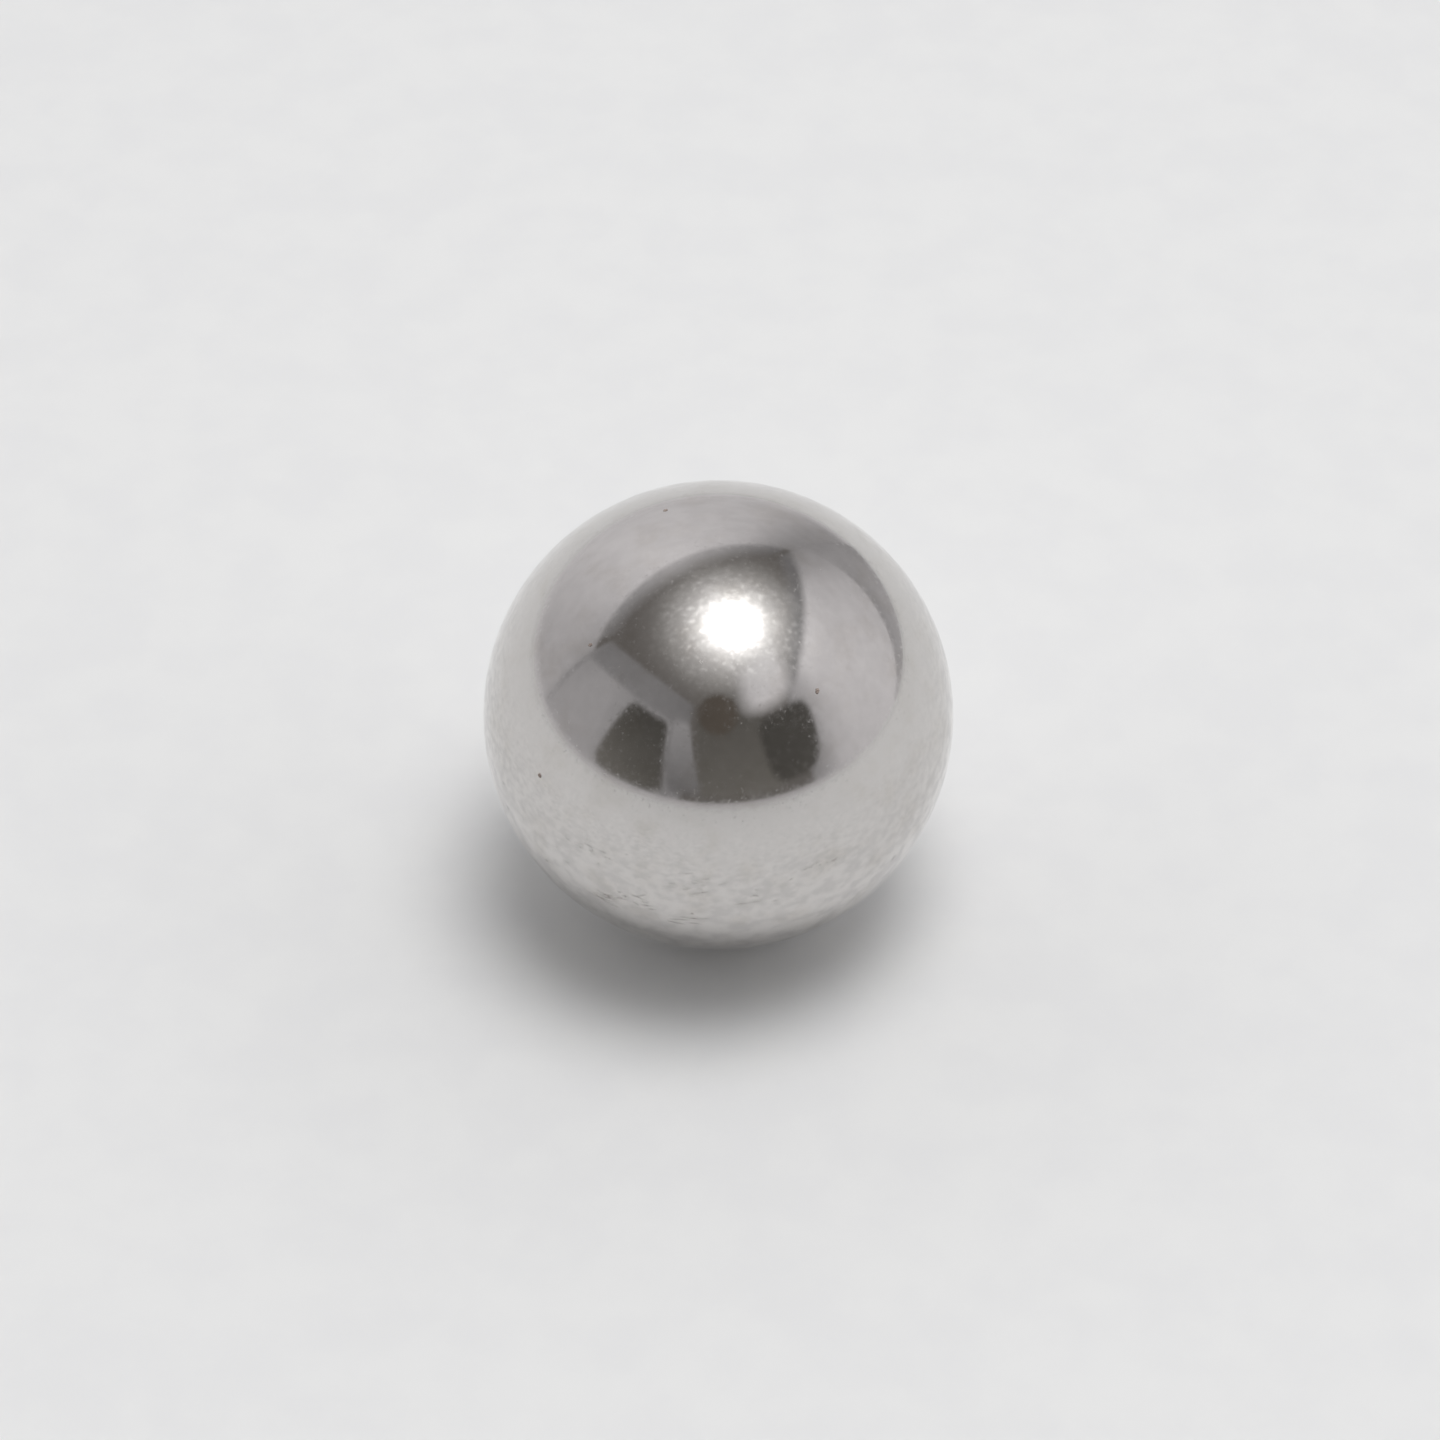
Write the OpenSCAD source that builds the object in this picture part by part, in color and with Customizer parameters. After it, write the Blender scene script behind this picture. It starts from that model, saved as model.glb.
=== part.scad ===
// Steel ball: one solid, ground and polished sphere, as used in bearings, detents and catches.
// Millimetres. The origin is the centre of the ball and +Z is up.

/* [Ball] */
// Diameter of the ball
ball_d = 12.7; // [6:0.1:25.4]

/* [Hidden] */

ball_r = ball_d / 2;
polished_steel = [0.62, 0.60, 0.585];
$fn = 128;

// The whole ball, solid to the middle, with no flat, pole mark or seam left by the grinding.
module ball() {
    color(polished_steel) sphere(r = ball_r);
}

ball();
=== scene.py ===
import math
import random

import bmesh
import bpy
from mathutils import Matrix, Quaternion, Vector


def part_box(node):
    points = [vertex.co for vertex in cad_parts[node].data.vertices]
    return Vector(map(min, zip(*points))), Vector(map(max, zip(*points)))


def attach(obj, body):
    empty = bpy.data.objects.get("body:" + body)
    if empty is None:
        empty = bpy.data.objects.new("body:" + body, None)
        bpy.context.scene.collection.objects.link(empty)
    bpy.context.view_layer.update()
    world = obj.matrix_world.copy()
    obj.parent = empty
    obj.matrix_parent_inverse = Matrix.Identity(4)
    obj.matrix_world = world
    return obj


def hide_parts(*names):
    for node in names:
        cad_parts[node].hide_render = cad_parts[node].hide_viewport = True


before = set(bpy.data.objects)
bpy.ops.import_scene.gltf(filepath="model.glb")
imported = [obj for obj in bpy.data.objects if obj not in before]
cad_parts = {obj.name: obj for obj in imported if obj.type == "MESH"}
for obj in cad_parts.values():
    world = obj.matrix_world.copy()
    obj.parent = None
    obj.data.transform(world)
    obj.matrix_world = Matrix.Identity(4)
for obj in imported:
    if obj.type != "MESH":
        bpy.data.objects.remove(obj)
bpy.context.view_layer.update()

# ---- sizes, all taken from the ball itself ----
BALL_LOW, BALL_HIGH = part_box("ball")
CENTRE = (BALL_LOW + BALL_HIGH) / 2
RADIUS = (BALL_HIGH.z - BALL_LOW.z) / 2
FLOOR_Z = BALL_LOW.z
FACE_CELLS = 96          # cells along each edge of the six patches that make the sphere

# ---- finish of the steel ----
STEEL_COLOUR = (0.610, 0.592, 0.578, 1)
STEEL_WARM = (0.560, 0.538, 0.515, 1)       # the colour of the faintly warmer spots
POLISH_ROUGHNESS = (0.060, 0.085)   # roughness of the lapped surface, which drifts between these
WAVE_WIDTH = 0.0038      # width of that slow drift, in metres, as are all the widths here
CLOUD_WIDTH = 0.00016    # width of the faint clouds left in the polish
CLOUD_ROUGHNESS = 0.070  # what a cloud adds to the roughness
PIT_WIDTH = 0.00011      # width of one fine pit left by lapping
PIT_ROUGHNESS = 0.15     # what a pit adds to the roughness
TINT_WIDTH = 0.0009      # width of the faintly warmer spots

# Noise levels at which each kind of spot starts and is complete. Higher levels make sparser spots.
EVEN_SPOTS = (0.3, 0.7)
CLOUD_SPOTS = (0.40, 0.72)
TINT_SPOTS = (0.45, 0.80)
PIT_SPOTS = (0.60, 0.80)
GLOW_SPOTS = (0.46, 0.80)
FIBRE_SPOTS = (0.36, 0.60)

# ---- dust on the steel ----
DUST_COLOUR = (0.250, 0.190, 0.170, 1)
DUST_PALE = (0.400, 0.340, 0.300, 1)
DUST_ROUGHNESS = (0.75, 0.95)
DUST_GRAIN = 0.00003     # width of the uneven tone within one speck, in metres
DUST_SIZE = (0.00005, 0.00008)      # smallest and largest radius of a speck, in metres
FRONT_SPECKS = [(35, 45), (-140, 70), (-55, 50), (-50, 15)]    # rough azimuth and height of each, in degrees
DUST_COUNT = 9           # front specks and back specks together
DUST_SEED = 5
DUST_LUMP = 0.18         # how uneven a speck's outline is, as a share of its size
DUST_ROUND = (0.6, 1.0)  # its least and greatest width, as a share of its length
DUST_FLAT = 0.35         # its thickness, as a share of its length
BACK_LOWEST = -0.5       # the specks on the back lie no lower than this, in ball radii from the centre
BACK_NEAREST = -0.1      # nor nearer to the camera than this

# ---- camera ----
CAMERA_HEIGHT = 44.5     # degrees above the floor
CAMERA_LENS = 135        # focal length in millimetres
SENSOR_WIDTH = 36        # in millimetres
CAMERA_DISTANCE = 23.0   # in ball radii
CAMERA_SHIFT = (0.0012, -0.0035)    # sideways and up, as a share of the picture's width
CLIP_START = 0.5         # nearest and farthest thing that the camera sees, in ball radii
CLIP_END = 400
LENS_WIDTH = 18.6        # how wide the front of the lens looks from the ball, in degrees
LENS_AWAY = 20           # how far its mirrored disc is from the ball, in ball radii
LENS_SOFT = 0.12         # how far its soft edge reaches in and out, as a share of its size
LENS_COLOUR = (0.117, 0.101, 0.086)

# ---- lamp ----
LAMP_SPREAD = 36         # how wide the round overhead lamp looks from the ball, in degrees
LAMP_PLACE = (80, 83)    # azimuth and height of the lamp, in degrees
LAMP_STRENGTH = 0.835
GLOW_REACH = (12.9, 46)  # where the lamp's bright diffuser ends and where its soft glow ends, in degrees
GLOW_TONE = 1.62         # brightness at the diffuser's edge
GLOW_FADE = 9.0          # degrees over which the glow falls to about a third outside that edge
CORE_FADE = 2.5          # degrees over which it rises about three times inside it
CORE_TONE = 4.0          # the most that it rises to
GLOW_MOTTLE = 2.4        # width of the bright spots in its cloth, in ball radii
GLOW_UNEVEN = (0.84, 1.80)   # brightness between the spots and in them
GLOW_LAYER = 6           # the glow hangs this much nearer than the walls, in ball radii

# ---- floor ----
PAPER = (0.825, 0.825, 0.825, 1)
PAPER_FIBRE = (0.755, 0.755, 0.760, 1)      # the darker and the paler fibres that the ball mirrors
PAPER_PALE = (0.885, 0.885, 0.885, 1)
PAPER_CLOUD = (0.805, 0.805, 0.810, 1)      # the slightly darker places in the smooth paper
PAPER_GRAIN = 0.12       # width of one fibre spot, in ball radii
CLOUD_GRAIN = 0.3        # width of those darker places, in ball radii
FLOOR_REACH = 170        # how far out the floor ends, in ball radii
FLOOR_FADE = (18, 75)    # how far out its fade into the backdrop starts and ends, in ball radii
FLOOR_SIDES = 96
FRONT_SHADE = 0.17       # how much the dark front dims the paper at most
SHADE_TONE = 0.25        # brightness of that shade
SHADE_REACH = (2.0, 60.0)    # where it starts and ends, in ball radii
SHADE_RISE = 1.6         # how quickly it comes in, 1 being full only at its far end
SHADE_TURN = 70          # how far it reaches to each side, in degrees
SHADE_LIFT = 0.006       # how high it lies over the floor, in ball radii

# ---- creases in the paper: places are azimuths in degrees and distances in ball radii ----
CREASE_SEED = 11
# the painted shade in a crease of the paper
CREASE_SHADE = (0.34, 0.33, 0.32)
CREASE_LIFT = 0.004      # how high they lie over the floor
CREASE_WIDTH = (0.006, 0.013)    # least and most, from the middle line to one side
CREASE_LENGTH = (0.03, 0.13)     # least and most, from the middle to one end
CREASE_LEAN = 0.35       # how much their directions vary, in radians
CREASE_BEND = 2.0        # the most that the middle is out of line, as a multiple of that width
CREASE_GROUPS = 9
GROUP_SIZE = (4, 8)      # the fewest and the most creases in a group
GROUP_TURN = (-55, 50)
GROUP_SPREAD = (5, 0.05)     # how far one strays from its group, in degrees and as a share of the distance
CREASE_NEAREST = 1.15    # the least distance of a group
CREASE_SPREAD = 2.2      # the most that a group lies farther than that
SINGLE_CREASES = 26
SINGLE_TURN = (-100, 100)
SINGLE_AWAY = (1.1, 3.2)
SINGLE_LENGTH = (0.015, 0.045)

# ---- the mirrored room ----
CARD_TINT = (0.800, 0.785, 0.802)
FLAG_TINT = (0.800, 0.762, 0.700)      # the dark flags are a little warmer
CARD_MOTTLE = 5.0        # width of the uneven spots in the cards, in ball radii
CARD_UNEVEN = (0.96, 1.04)   # brightness between the spots and in them
# painted shade: the room's dark top, which the lamp's shade keeps from its light
ROOM_DARK = (0.165, 0.155, 0.147, 1)    # what the steel mirrors where no card hangs
WALL_FILL = (0.0, 0.82)     # light that the walls give the floor: on the dark front side, and at the back
SIDE_FILL = 0.30             # how much more both sides give
RIGHT_FILL = 0.13            # how much more the right wall gives than the middle, and the left one less
FRONT_TO_BACK = (-0.75, 0.1)    # where the light turns from the front's to the back's, 1 being the very back
WALL_TOP = 48                # degrees above the floor at which the walls' light gives way to the dark top
TOP_SOFT = 4                 # degrees above and below that over which it does so
TOP_FILL = 0.2               # the share of that light that the dark top gives
PALE_BACKDROP = (0.785, 0.785, 0.785, 1)
WALL_DISTANCE = 70       # in ball radii
FOOT = -3                # height in degrees at which the walls start, where the floor hides them
COLUMN_WIDTH = 1.5       # width in degrees of one strip of a wall
WALL_ROWS = 12
LEAST_WALL = 0.1         # the least height of a wall above its foot, in degrees
CURL = 1.6               # how strongly the fold curls up, 1 being straight
FOOT_SHARE = 0.2         # about this share of a wall's height keeps the tone of its foot
FLAG_CELLS = 28          # cells along each edge of a flag


def metres(radii):
    return radii * RADIUS


def direction(azimuth, height):
    """Unit vector seen from the ball: azimuth 0 is towards the camera and 90 to the right, in degrees."""
    a, h = math.radians(azimuth), math.radians(height)
    return Vector((math.sin(a) * math.cos(h), -math.cos(a) * math.cos(h), math.sin(h)))


# ---- small helpers for node trees ----

def new_material(name):
    material = bpy.data.materials.new(name)
    material.use_nodes = True
    tree = material.node_tree
    tree.nodes.clear()
    return material, tree


def node(tree, kind, **settings):
    made = tree.nodes.new(kind)
    for key, value in settings.items():
        setattr(made, key, value)
    return made


def link(tree, source, target):
    tree.links.new(source, target)


def ramp(tree, source, start, end, low=0.0, high=1.0):
    """A smooth step from low to high as source goes from start to end."""
    step = node(tree, "ShaderNodeMapRange", interpolation_type="SMOOTHSTEP")
    step.inputs["From Min"].default_value = start
    step.inputs["From Max"].default_value = end
    step.inputs["To Min"].default_value = low
    step.inputs["To Max"].default_value = high
    link(tree, source, step.inputs["Value"])
    return step.outputs["Result"]


def blend_colour(tree, amount, first, second):
    mix = node(tree, "ShaderNodeMix", data_type="RGBA")
    link(tree, amount, mix.inputs["Factor"])
    for socket, value in ((mix.inputs[6], first), (mix.inputs[7], second)):
        if isinstance(value, tuple):
            socket.default_value = value
        else:
            link(tree, value, socket)
    return mix.outputs[2]


def arithmetic(tree, operation, first, second):
    made = node(tree, "ShaderNodeMath", operation=operation)
    for socket, value in zip(made.inputs, (first, second)):
        if isinstance(value, (int, float)):
            socket.default_value = value
        else:
            link(tree, value, socket)
    return made.outputs[0]


def make_mottle_group():
    """Soft uneven spots that go from Low to High where the noise goes from Start to End."""
    group = bpy.data.node_groups.new("mottle", "ShaderNodeTree")
    group.interface.new_socket(name="Place", in_out="INPUT", socket_type="NodeSocketVector")
    for title in ("Scale", "Detail", "Start", "End", "Low", "High"):
        group.interface.new_socket(name=title, in_out="INPUT", socket_type="NodeSocketFloat")
    group.interface.new_socket(name="Amount", in_out="OUTPUT", socket_type="NodeSocketFloat")
    given = node(group, "NodeGroupInput").outputs
    spots = node(group, "ShaderNodeTexNoise")
    step = node(group, "ShaderNodeMapRange", interpolation_type="SMOOTHSTEP")
    for source, target in (("Place", spots.inputs["Vector"]), ("Scale", spots.inputs["Scale"]),
                           ("Detail", spots.inputs["Detail"]), ("Start", step.inputs["From Min"]),
                           ("End", step.inputs["From Max"]), ("Low", step.inputs["To Min"]),
                           ("High", step.inputs["To Max"])):
        link(group, given[source], target)
    link(group, spots.outputs["Fac"], step.inputs["Value"])
    link(group, step.outputs["Result"], node(group, "NodeGroupOutput").inputs["Amount"])
    return group


MOTTLE_GROUP = make_mottle_group()


def mottle(tree, width, detail, spots, values=(0.0, 1.0)):
    """Places the shared mottle in a material, with spots of about this width in metres.

    It gives the first value below the lower noise level in spots, and the second value above the upper one.
    """
    made = node(tree, "ShaderNodeGroup", node_tree=MOTTLE_GROUP)
    link(tree, node(tree, "ShaderNodeTexCoord").outputs["Object"], made.inputs["Place"])
    settings = {"Scale": 1 / width, "Detail": detail, "Start": spots[0], "End": spots[1],
                "Low": values[0], "High": values[1]}
    for title, value in settings.items():
        made.inputs[title].default_value = value
    return made.outputs["Amount"]


def set_surface(tree, socket):
    """Makes the socket's shader the material's surface."""
    link(tree, socket, node(tree, "ShaderNodeOutputMaterial").inputs["Surface"])


# ---- the ball ----

def piece_from(mesh, name):
    """Turns the mesh under construction into an object of the scene."""
    data = bpy.data.meshes.new(name)
    mesh.to_mesh(data)
    mesh.free()
    piece = bpy.data.objects.new(name, data)
    bpy.context.scene.collection.objects.link(piece)
    return piece


def sphere_patch(mesh, uv_layer, axis, column, row):
    """One of six square patches. Equal angles along its edges keep its cells nearly square on the sphere."""
    normal = Vector(axis)
    side = Vector((axis[1], axis[2], axis[0]))
    other = normal.cross(side)
    quarter = math.pi / 4
    grid = []
    for i in range(FACE_CELLS + 1):
        a = math.tan((2 * i / FACE_CELLS - 1) * quarter)
        line = []
        for j in range(FACE_CELLS + 1):
            b = math.tan((2 * j / FACE_CELLS - 1) * quarter)
            place = (normal + side * a + other * b).normalized()
            line.append(mesh.verts.new(CENTRE + place * RADIUS))
        grid.append(line)
    margin = 0.012
    wide, tall = 1 / 3 - 2 * margin, 1 / 2 - 2 * margin
    for i in range(FACE_CELLS):
        for j in range(FACE_CELLS):
            corners = ((i, j), (i + 1, j), (i + 1, j + 1), (i, j + 1))
            face = mesh.faces.new([grid[p][q] for p, q in corners])
            face.smooth = True
            for loop, (p, q) in zip(face.loops, corners):
                u = column / 3 + margin + wide * p / FACE_CELLS
                v = row / 2 + margin + tall * q / FACE_CELLS
                loop[uv_layer].uv = (u, v)


def make_ball():
    mesh = bmesh.new()
    uv_layer = mesh.loops.layers.uv.new("OFBake")
    axes = ((1, 0, 0), (0, 1, 0), (0, 0, 1), (-1, 0, 0), (0, -1, 0), (0, 0, -1))
    for count, axis in enumerate(axes):
        sphere_patch(mesh, uv_layer, axis, count % 3, count // 3)
    bmesh.ops.remove_doubles(mesh, verts=mesh.verts, dist=RADIUS * 1e-5)
    bmesh.ops.recalc_face_normals(mesh, faces=mesh.faces)
    return piece_from(mesh, "polished_ball")


def polished_steel():
    """Mirror-lapped steel, with sparse fine pits and faint clouds left in the polish."""
    material, tree = new_material("polished_steel")
    pits = mottle(tree, PIT_WIDTH, 1.0, PIT_SPOTS, (0.0, PIT_ROUGHNESS))
    clouds = mottle(tree, CLOUD_WIDTH, 3.0, CLOUD_SPOTS, (0.0, CLOUD_ROUGHNESS))
    polish = mottle(tree, WAVE_WIDTH, 2.0, EVEN_SPOTS, POLISH_ROUGHNESS)
    rough = arithmetic(tree, "ADD", arithmetic(tree, "ADD", polish, clouds), pits)
    colour = blend_colour(tree, mottle(tree, TINT_WIDTH, 5.0, TINT_SPOTS), STEEL_COLOUR, STEEL_WARM)

    shader = node(tree, "ShaderNodeBsdfPrincipled")
    link(tree, colour, shader.inputs["Base Color"])
    shader.inputs["Metallic"].default_value = 1.0
    link(tree, rough, shader.inputs["Roughness"])
    set_surface(tree, shader.outputs["BSDF"])
    return material


def make_dust():
    """Sparse flat specks of dust on the steel: the chosen ones in front, and the rest on the back."""
    pick = random.Random(DUST_SEED)
    places = [direction(*spot) for spot in FRONT_SPECKS]
    front = direction(0, CAMERA_HEIGHT)
    while len(places) < DUST_COUNT:
        spot = Vector([pick.gauss(0, 1) for _ in range(3)]).normalized()
        if spot.z > BACK_LOWEST and spot.dot(front) < BACK_NEAREST:
            places.append(spot)
    mesh = bmesh.new()
    for spot in places:
        size = pick.uniform(*DUST_SIZE)
        made = bmesh.ops.create_icosphere(mesh, subdivisions=2, radius=1)["verts"]
        turn = spot.to_track_quat("Z", "Y")
        spin = Quaternion((0, 0, 1), pick.uniform(0, math.pi))
        stretch = pick.uniform(*DUST_ROUND)
        for vert in made:
            lump = 1 + pick.uniform(-DUST_LUMP, DUST_LUMP)
            flat = Vector((vert.co.x, vert.co.y * stretch, vert.co.z * DUST_FLAT)) * size * lump
            vert.co = CENTRE + spot * RADIUS + turn @ (spin @ flat)
    for face in mesh.faces:
        face.smooth = True
    return piece_from(mesh, "dust_specks")


def dry_dust():
    """Brown-grey lint, uneven in tone and quite matt."""
    material, tree = new_material("dry_dust")
    grain = mottle(tree, DUST_GRAIN, 3.0, EVEN_SPOTS)
    shader = node(tree, "ShaderNodeBsdfPrincipled")
    link(tree, blend_colour(tree, grain, DUST_COLOUR, DUST_PALE), shader.inputs["Base Color"])
    link(tree, mottle(tree, DUST_GRAIN, 3.0, EVEN_SPOTS, DUST_ROUGHNESS), shader.inputs["Roughness"])
    set_surface(tree, shader.outputs["BSDF"])
    return material


# ---- the studio ----

def stage_mesh(name, points, faces, material):
    data = bpy.data.meshes.new(name)
    data.from_pydata([tuple(p) for p in points], [], faces)
    data.materials.append(material)
    made = bpy.data.objects.new(name, data)
    bpy.context.scene.collection.objects.link(made)
    return made


def mirrored_only(made):
    """The object shows in reflections, and neither the camera nor the floor's light meets it."""
    made.visible_camera = False
    made.visible_diffuse = False
    made.visible_shadow = False


def glow(name, colour):
    """An even tone that is only mirrored and lights nothing."""
    material, tree = new_material(name)
    material.cycles.emission_sampling = "NONE"
    light = node(tree, "ShaderNodeEmission")
    light.inputs["Color"].default_value = (*colour, 1)
    set_surface(tree, light.outputs["Emission"])
    return material


def soft_glow(name, colour):
    """A glow that is only mirrored and lights nothing. It fades out where the mesh's cover value does."""
    material, tree = new_material(name)
    material.cycles.emission_sampling = "NONE"
    light = node(tree, "ShaderNodeEmission")
    light.inputs["Color"].default_value = (*colour, 1)
    tone = node(tree, "ShaderNodeAttribute", attribute_name="tone").outputs["Fac"]
    uneven = mottle(tree, metres(CARD_MOTTLE), 3.0, EVEN_SPOTS, CARD_UNEVEN)
    link(tree, arithmetic(tree, "MULTIPLY", tone, uneven), light.inputs["Strength"])
    cover = node(tree, "ShaderNodeAttribute", attribute_name="cover")
    mix = node(tree, "ShaderNodeMixShader")
    link(tree, cover.outputs["Fac"], mix.inputs[0])
    link(tree, node(tree, "ShaderNodeBsdfTransparent").outputs["BSDF"], mix.inputs[1])
    link(tree, light.outputs["Emission"], mix.inputs[2])
    set_surface(tree, mix.outputs["Shader"])
    return material


def set_values(made, **values):
    """One number at each point of the mesh, for each name."""
    for title, numbers in values.items():
        made.data.attributes.new(title, "FLOAT", "POINT").data.foreach_set("value", numbers)


def card_mesh(name, grid, cover, tones, layer, tint=CARD_TINT):
    """A card through a grid of directions. A higher layer hangs nearer to the ball, in front of the rest."""
    away = metres(WALL_DISTANCE - layer)
    long = len(grid[0])
    points = [CENTRE + direction(*spot) * away for line in grid for spot in line]
    faces = [(long * i + j, long * (i + 1) + j, long * (i + 1) + j + 1, long * i + j + 1)
             for i in range(len(grid) - 1) for j in range(long - 1)]
    made = stage_mesh(name, points, faces, soft_glow(name, tint))
    set_values(made, cover=cover, tone=tones)
    mirrored_only(made)


def straight_top(face, rise):
    """Height in degrees of a wall's level top edge, for a wall that is rise times as high as it is far.

    Its nearest point to the ball is at azimuth face.
    """
    return lambda azimuth: math.degrees(math.atan(rise * math.cos(math.radians(azimuth - face))))


def curled_top(start, end, height):
    """Height in degrees of a fold that lifts off the floor at start and curls up to height at end."""
    return lambda azimuth: height * max(0.0, (azimuth - start) / (end - start)) ** CURL


def between(marks, azimuth):
    """Values at one azimuth, on straight lines between the marks. Each mark is its azimuth and its values."""
    if azimuth <= marks[0][0]:
        return marks[0][1:]
    for (start, *low), (end, *high) in zip(marks, marks[1:]):
        if azimuth <= end:
            part = (azimuth - start) / (end - start)
            return [a + (b - a) * part for a, b in zip(low, high)]
    return marks[-1][1:]


def wall(name, top, marks, feather=1.5, layer=0):
    """A wall from the first mark to the last. A mark is an azimuth, with the tones at the foot and the top.

    The wall's top edge fades out over feather degrees.
    """
    start, end = marks[0][0], marks[-1][0]
    columns = int((end - start) / COLUMN_WIDTH) + 1
    grid, cover, tones = [], [], []
    for i in range(-1, columns + 2):
        azimuth = start + (end - start) * i / columns
        foot_tone, top_tone = between(marks, azimuth)
        high = max(top(azimuth), FOOT + LEAST_WALL)
        line = []
        for j in range(WALL_ROWS + 2):
            part = min(j / WALL_ROWS, 1.0)
            line.append((azimuth, FOOT + (high - FOOT) * part + (feather if j > WALL_ROWS else 0)))
            cover.append(1.0 if j <= WALL_ROWS and 0 <= i <= columns else 0.0)
            tones.append(foot_tone + (top_tone - foot_tone) * max(0.0, part * (1 + FOOT_SHARE) - FOOT_SHARE))
        grid.append(line)
    card_mesh(name, grid, cover, tones, layer)


def flag(name, corners, tones, soft=0.10, square=7.0, layer=0, tint=FLAG_TINT):
    """A card with four corners. They and their tones are listed from the foot on the left, then on the right.

    A lower square rounds the corners more. The edges fade over the share soft of the way to the middle.
    """
    cells = FLAG_CELLS
    grid, cover, shades = [], [], []
    for i in range(cells + 1):
        u = i / cells
        line = []
        for j in range(cells + 1):
            v = j / cells
            weights = ((1 - u) * (1 - v), u * (1 - v), u * v, (1 - u) * v)
            line.append([sum(w * corner[k] for w, corner in zip(weights, corners)) for k in (0, 1)])
            shades.append(sum(w * tone for w, tone in zip(weights, tones)))
            edge = (abs(2 * u - 1) ** square + abs(2 * v - 1) ** square) ** (1 / square)
            cover.append(max(0.0, min(1.0, (1 - edge) / soft)))
        grid.append(line)
    card_mesh(name, grid, cover, shades, layer, tint)


def make_light_box():
    """White walls with straight tops, a fold on the right, and dark flags and an opening in the front, as
    glowing cards. Their tones are painted light and shade: the lamp's light on the walls, and painted shade
    on the tops, in the corners, along the fold and in the open front.
    """
    # painted light and shade: a dim band of wall above the lamp's pool of light, fading into the room's
    # shaded top
    wall("back_wall_dim_light", straight_top(-152, 1.32),
         [(-206, 0.28, 0.28), (-192, 0.45, 0.44), (-180, 0.52, 0.55), (-165, 0.62, 0.62), (-150, 0.66, 0.66),
          (-135, 0.56, 0.56), (-120, 0.44, 0.46), (-100, 0.36, 0.34)], feather=8)
    # painted light and shade: the same dim band above the right wall
    wall("right_wall_dim_light", straight_top(96, 1.42),
         [(50, 0.24, 0.22), (66, 0.30, 0.28), (80, 0.24, 0.22), (92, 0.17, 0.17), (104, 0.17, 0.17),
          (116, 0.26, 0.25), (130, 0.24, 0.24), (150, 0.28, 0.28)], feather=6, layer=1)
    wall("back_wall", straight_top(-153, 1.14),
         [(-211, 0.46, 0.44), (-204, 0.52, 0.48), (-192, 0.80, 0.82), (-180, 0.84, 0.94), (-168, 0.88, 1.02),
          (-150, 0.90, 1.08), (-132, 0.74, 0.98), (-120, 0.67, 0.86), (-108, 0.66, 0.70), (-97, 0.66, 0.58),
          (-93, 0.52, 0.40)], feather=2.5, layer=1)
    wall("right_wall", straight_top(94, 1.19),
         [(45, 0.40, 0.45), (53, 0.56, 0.60), (60, 0.80, 0.68), (72, 0.88, 0.98), (84, 0.90, 1.04),
          (96, 0.96, 1.00), (110, 0.93, 0.94), (120, 0.85, 0.88), (132, 0.78, 0.76), (142, 0.58, 0.56),
          (150, 0.50, 0.46)], feather=3.5, layer=2)
    # painted shade: the curled fold is darker than the wall behind it
    wall("right_fold", curled_top(96, 150, 28),
         [(98, 0.76, 0.74), (110, 0.64, 0.58), (120, 0.60, 0.48), (132, 0.64, 0.46), (144, 0.52, 0.50),
          (150, 0.46, 0.44)], feather=1.0, layer=3)
    wall("front_left_wall", straight_top(-48.5, 1.24),
         [(-94, 0.36, 0.31), (-84, 0.37, 0.33), (-48, 0.37, 0.34), (-18, 0.36, 0.28)], layer=2)
    wall("front_left_card", straight_top(-48.5, 0.79),
         [(-94, 0.58, 0.46), (-84, 0.58, 0.52), (-72, 0.56, 0.56), (-60, 0.54, 0.48), (-28, 0.48, 0.46)],
         feather=2, layer=3)
    # painted shade: a darker strip down the corner where the left and back walls meet
    flag("corner_shade", ((-94.6, 3), (-92.2, 3), (-92.6, 45), (-95.4, 45)), (0.50, 0.50, 0.32, 0.32),
         soft=0.5, layer=4, tint=CARD_TINT)
    # painted shade: the dark open front of the box
    flag("front_opening", ((-16, 1.2), (38, 1.2), (27, 56), (-15, 56)), (0.22, 0.25, 0.13, 0.14),
         soft=0.16, square=5.0, layer=4)
    # painted light: a paler strip between the dark flags, lit more towards its top
    flag("pale_strip", ((-24, 3), (-6, 3), (-17, 41), (-28, 41)), (0.20, 0.26, 0.46, 0.52),
         soft=0.22, layer=5, tint=CARD_TINT)
    flag("left_flag", ((-62.5, 1.2), (-24, 1.2), (-29, 38), (-56.5, 38.5)), (0.25, 0.16, 0.10, 0.10), layer=6)
    flag("right_flag", ((25, 6), (50, 6.5), (60, 41), (21, 41)), (0.11, 0.13, 0.11, 0.10),
         soft=0.14, square=4.0, layer=6)
    # painted light: a patch lit by the lamp, brightest at its foot
    flag("pale_patch", ((10, 39.5), (60, 41), (76, 70), (14, 68)), (1.14, 1.20, 0.42, 0.26),
         soft=0.50, square=3.0, layer=5, tint=CARD_TINT)
    wall("back_floor_edge", lambda azimuth: 0.0,
         [(-208, 0.80, 0.80), (-180, 0.90, 0.90), (-100, 0.82, 0.82)], feather=4, layer=7)
    # painted shade: the far paper is darker in front, where the dark front shades it
    wall("front_floor_edge", lambda azimuth: 0.8,
         [(-98, 0.80, 0.80), (-50, 0.72, 0.72), (45, 0.70, 0.70), (64, 0.82, 0.82)], feather=1.4, layer=7)


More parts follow.
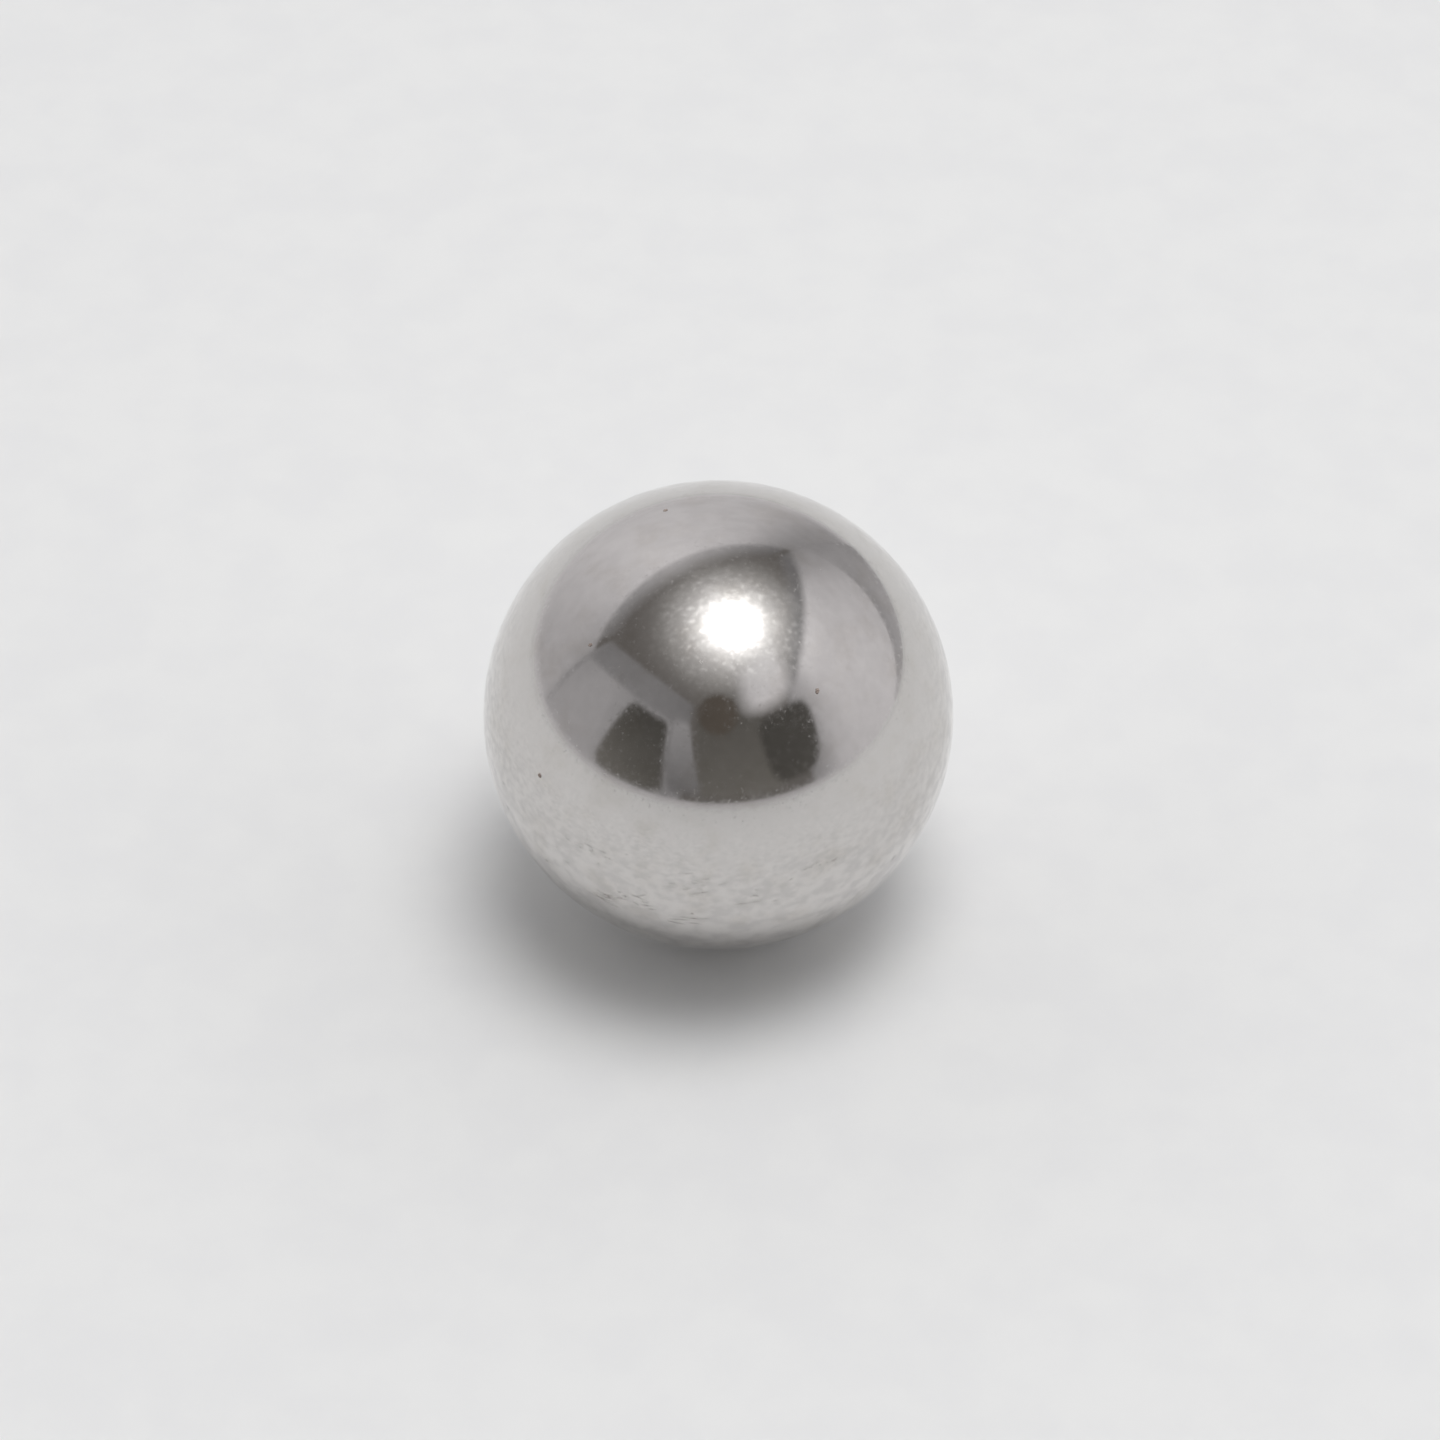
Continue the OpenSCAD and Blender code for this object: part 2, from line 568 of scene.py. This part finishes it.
def make_lamp_glow():
    """The soft glow of the lamp's diffuser. It adds to whatever lies behind it, and also lights the floor."""
    start, end = GLOW_REACH
    rings, parts = 46, 48
    axis = direction(*LAMP_PLACE).to_track_quat("Z", "Y")
    points, tones = [], []
    for i in range(rings + 1):
        wide = end * i / rings
        fade = math.exp((start - wide) / (GLOW_FADE if wide > start else CORE_FADE))
        close = max(0.0, min(1.0, (end - wide) / (end - start) * 2))
        for k in range(parts):
            turn = 2 * math.pi * k / parts
            a = math.radians(wide)
            spot = axis @ Vector((math.sin(a) * math.cos(turn), math.sin(a) * math.sin(turn), math.cos(a)))
            points.append(CENTRE + spot * metres(WALL_DISTANCE - GLOW_LAYER))
            tones.append(min(GLOW_TONE * fade * close, CORE_TONE))
    faces = [(parts * i + k, parts * i + (k + 1) % parts,
              parts * (i + 1) + (k + 1) % parts, parts * (i + 1) + k)
             for i in range(rings) for k in range(parts)]
    material, tree = new_material("lamp_glow")
    light = node(tree, "ShaderNodeEmission")
    tone = node(tree, "ShaderNodeAttribute", attribute_name="tone").outputs["Fac"]
    uneven = mottle(tree, metres(GLOW_MOTTLE), 2.0, GLOW_SPOTS, GLOW_UNEVEN)
    link(tree, arithmetic(tree, "MULTIPLY", tone, uneven), light.inputs["Strength"])
    both = node(tree, "ShaderNodeAddShader")
    link(tree, light.outputs["Emission"], both.inputs[0])
    link(tree, node(tree, "ShaderNodeBsdfTransparent").outputs["BSDF"], both.inputs[1])
    set_surface(tree, both.outputs["Shader"])
    made = stage_mesh("lamp_glow", points, faces, material)
    set_values(made, tone=tones)
    mirrored_only(made)
    made.visible_diffuse = True


def make_lens():
    """The dark round front of a camera, which stands where the view is taken from."""
    axis = direction(0, CAMERA_HEIGHT)
    side = Vector((1, 0, 0))
    up = side.cross(axis)
    away, parts = metres(LENS_AWAY), 48
    size = math.tan(math.radians(LENS_WIDTH / 2)) * away
    points = []
    for reach in ((1 - LENS_SOFT) * size, (1 + LENS_SOFT) * size):
        for k in range(parts):
            turn = 2 * math.pi * k / parts
            points.append(CENTRE + axis * away + (side * math.cos(turn) + up * math.sin(turn)) * reach)
    faces = [tuple(range(parts))]
    faces += [(k, (k + 1) % parts, parts + (k + 1) % parts, parts + k) for k in range(parts)]
    made = stage_mesh("lens_front", points, faces, soft_glow("lens_front", LENS_COLOUR))
    set_values(made, cover=[1.0] * parts + [0.0] * parts, tone=[1.0] * (2 * parts))
    mirrored_only(made)


def make_floor():
    """Smooth pale paper that fades into the backdrop far away. The ball also mirrors its uneven fibres."""
    material, tree = new_material("pale_paper")
    material.cycles.emission_sampling = "NONE"
    smooth = blend_colour(tree, mottle(tree, metres(CLOUD_GRAIN), 3.0, EVEN_SPOTS), PAPER, PAPER_CLOUD)
    fibres = mottle(tree, metres(PAPER_GRAIN), 4.0, FIBRE_SPOTS)
    uneven = blend_colour(tree, fibres, PAPER_FIBRE, PAPER_PALE)
    tone = blend_colour(tree, node(tree, "ShaderNodeLightPath").outputs["Is Glossy Ray"], smooth, uneven)
    shader = node(tree, "ShaderNodeBsdfDiffuse")
    link(tree, tone, shader.inputs["Color"])
    backdrop = node(tree, "ShaderNodeEmission")
    backdrop.inputs["Color"].default_value = PALE_BACKDROP
    away = node(tree, "ShaderNodeVectorMath", operation="LENGTH")
    link(tree, node(tree, "ShaderNodeTexCoord").outputs["Object"], away.inputs[0])
    mix = node(tree, "ShaderNodeMixShader")
    link(tree, ramp(tree, away.outputs["Value"], *(metres(far) for far in FLOOR_FADE)), mix.inputs[0])
    link(tree, shader.outputs["BSDF"], mix.inputs[1])
    link(tree, backdrop.outputs["Emission"], mix.inputs[2])
    set_surface(tree, mix.outputs["Shader"])
    reach = metres(FLOOR_REACH)
    points = [(CENTRE.x + math.cos(t) * reach, CENTRE.y + math.sin(t) * reach, FLOOR_Z)
              for t in (2 * math.pi * i / FLOOR_SIDES for i in range(FLOOR_SIDES))]
    stage_mesh("floor", points, [tuple(range(FLOOR_SIDES))], material)


def on_floor(azimuth, away, lift):
    """A spot on the floor. Azimuth is in degrees from the camera's side, away and lift are in ball radii."""
    turn = math.radians(azimuth)
    return Vector((CENTRE.x + math.sin(turn) * metres(away), CENTRE.y - math.cos(turn) * metres(away),
                   FLOOR_Z + metres(lift)))


def make_front_shade():
    """The soft shade of the dark front on the paper, which only the ball mirrors."""
    near, far = SHADE_REACH
    rings, parts = 12, 24
    points, cover, tones = [], [], []
    for i in range(rings + 1):
        away = near * (far / near) ** (i / rings)
        for k in range(parts + 1):
            points.append(on_floor(SHADE_TURN * (2 * k / parts - 1), away, SHADE_LIFT))
            cover.append(FRONT_SHADE * min(1.0, SHADE_RISE * i / rings) * math.sin(math.pi * k / parts))
            tones.append(SHADE_TONE)
    long = parts + 1
    faces = [(long * i + k, long * i + k + 1, long * (i + 1) + k + 1, long * (i + 1) + k)
             for i in range(rings) for k in range(parts)]
    made = stage_mesh("front_shade", points, faces, soft_glow("front_shade", CARD_TINT))
    set_values(made, cover=cover, tone=tones)
    mirrored_only(made)


def crease_places(pick):
    """Azimuth, distance and length of each crease: first those in groups, and then the single ones."""
    places = []
    for _ in range(CREASE_GROUPS):
        azimuth = pick.uniform(*GROUP_TURN)
        away = CREASE_NEAREST + CREASE_SPREAD * pick.random() ** 2
        for _ in range(pick.randint(*GROUP_SIZE)):
            turned = azimuth + pick.gauss(0, GROUP_SPREAD[0])
            moved = away * (1 + pick.gauss(0, GROUP_SPREAD[1]))
            places.append((turned, moved, pick.uniform(*CREASE_LENGTH)))
    for _ in range(SINGLE_CREASES):
        places.append((pick.uniform(*SINGLE_TURN), pick.uniform(*SINGLE_AWAY), pick.uniform(*SINGLE_LENGTH)))
    return places


def make_creases():
    """Short creases in the paper round the ball, drawn as dark strips of painted shade, which only the ball
    mirrors.
    """
    pick = random.Random(CREASE_SEED)
    points, faces = [], []
    for azimuth, away, long in crease_places(pick):
        middle = on_floor(azimuth, away, CREASE_LIFT)
        lean = math.radians(azimuth) + pick.gauss(0, CREASE_LEAN)
        along = Vector((math.cos(lean), math.sin(lean), 0)) * metres(long)
        across = Vector((-math.sin(lean), math.cos(lean), 0)) * metres(pick.uniform(*CREASE_WIDTH))
        bend = across * pick.uniform(-CREASE_BEND, CREASE_BEND)
        first = len(points)
        points += [middle - along, middle + bend - across, middle + along, middle + bend + across]
        faces.append((first, first + 1, first + 2, first + 3))
    mirrored_only(stage_mesh("paper_creases", points, faces, glow("crease", CREASE_SHADE)))


def make_lamp():
    """The light that casts the shadow. The steel mirrors the glowing diffuser in its place."""
    data = bpy.data.lights.new("overhead_lamp", "SUN")
    data.energy = LAMP_STRENGTH
    data.angle = math.radians(LAMP_SPREAD)
    lamp = bpy.data.objects.new("overhead_lamp", data)
    lamp.rotation_mode = "QUATERNION"
    lamp.rotation_quaternion = direction(*LAMP_PLACE).to_track_quat("Z", "Y")
    lamp.visible_glossy = False
    bpy.context.scene.collection.objects.link(lamp)


def make_world():
    """Pale behind the floor, dark where the steel mirrors it, and giving the floor the light of the walls."""
    world = bpy.data.worlds.new("studio")
    bpy.context.scene.world = world
    world.use_nodes = True
    tree = world.node_tree
    tree.nodes.clear()
    way = node(tree, "ShaderNodeSeparateXYZ")
    link(tree, node(tree, "ShaderNodeTexCoord").outputs["Generated"], way.inputs[0])
    front_to_back = ramp(tree, way.outputs["Y"], *FRONT_TO_BACK, *WALL_FILL)
    squared = arithmetic(tree, "MULTIPLY", way.outputs["X"], way.outputs["X"])
    sideways = arithmetic(tree, "MULTIPLY", squared, SIDE_FILL)
    rightward = arithmetic(tree, "MULTIPLY", way.outputs["X"], RIGHT_FILL)
    walls = arithmetic(tree, "ADD", front_to_back, arithmetic(tree, "ADD", sideways, rightward))
    low, high = (math.sin(math.radians(WALL_TOP + spread)) for spread in (-TOP_SOFT, TOP_SOFT))
    fill = arithmetic(tree, "MULTIPLY", walls, ramp(tree, way.outputs["Z"], low, high, 1.0, TOP_FILL))
    grey = blend_colour(tree, fill, (0, 0, 0, 1), (1, 1, 1, 1))
    path = node(tree, "ShaderNodeLightPath")
    mirrored = blend_colour(tree, path.outputs["Is Glossy Ray"], grey, ROOM_DARK)
    seen = blend_colour(tree, path.outputs["Is Camera Ray"], mirrored, PALE_BACKDROP)
    back = node(tree, "ShaderNodeBackground")
    link(tree, seen, back.inputs["Color"])
    output = node(tree, "ShaderNodeOutputWorld")
    link(tree, back.outputs["Background"], output.inputs["Surface"])


def make_camera():
    data = bpy.data.cameras.new("camera")
    data.lens = CAMERA_LENS
    data.sensor_width = SENSOR_WIDTH
    data.clip_start = metres(CLIP_START)
    data.clip_end = metres(CLIP_END)
    data.shift_x, data.shift_y = CAMERA_SHIFT
    camera = bpy.data.objects.new("camera", data)
    back = direction(0, CAMERA_HEIGHT)
    camera.location = CENTRE + back * metres(CAMERA_DISTANCE)
    camera.rotation_mode = "QUATERNION"
    camera.rotation_quaternion = (-back).to_track_quat("-Z", "Y")
    bpy.context.scene.collection.objects.link(camera)
    bpy.context.scene.camera = camera


bpy.context.scene.view_settings.view_transform = "Standard"

ball = make_ball()
ball.data.materials.append(polished_steel())
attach(ball, "root")
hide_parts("ball")

dust = make_dust()
dust.data.materials.append(dry_dust())
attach(dust, "root")

make_floor()
make_front_shade()
make_creases()
make_light_box()
make_lens()
make_lamp()
make_lamp_glow()
make_world()
make_camera()
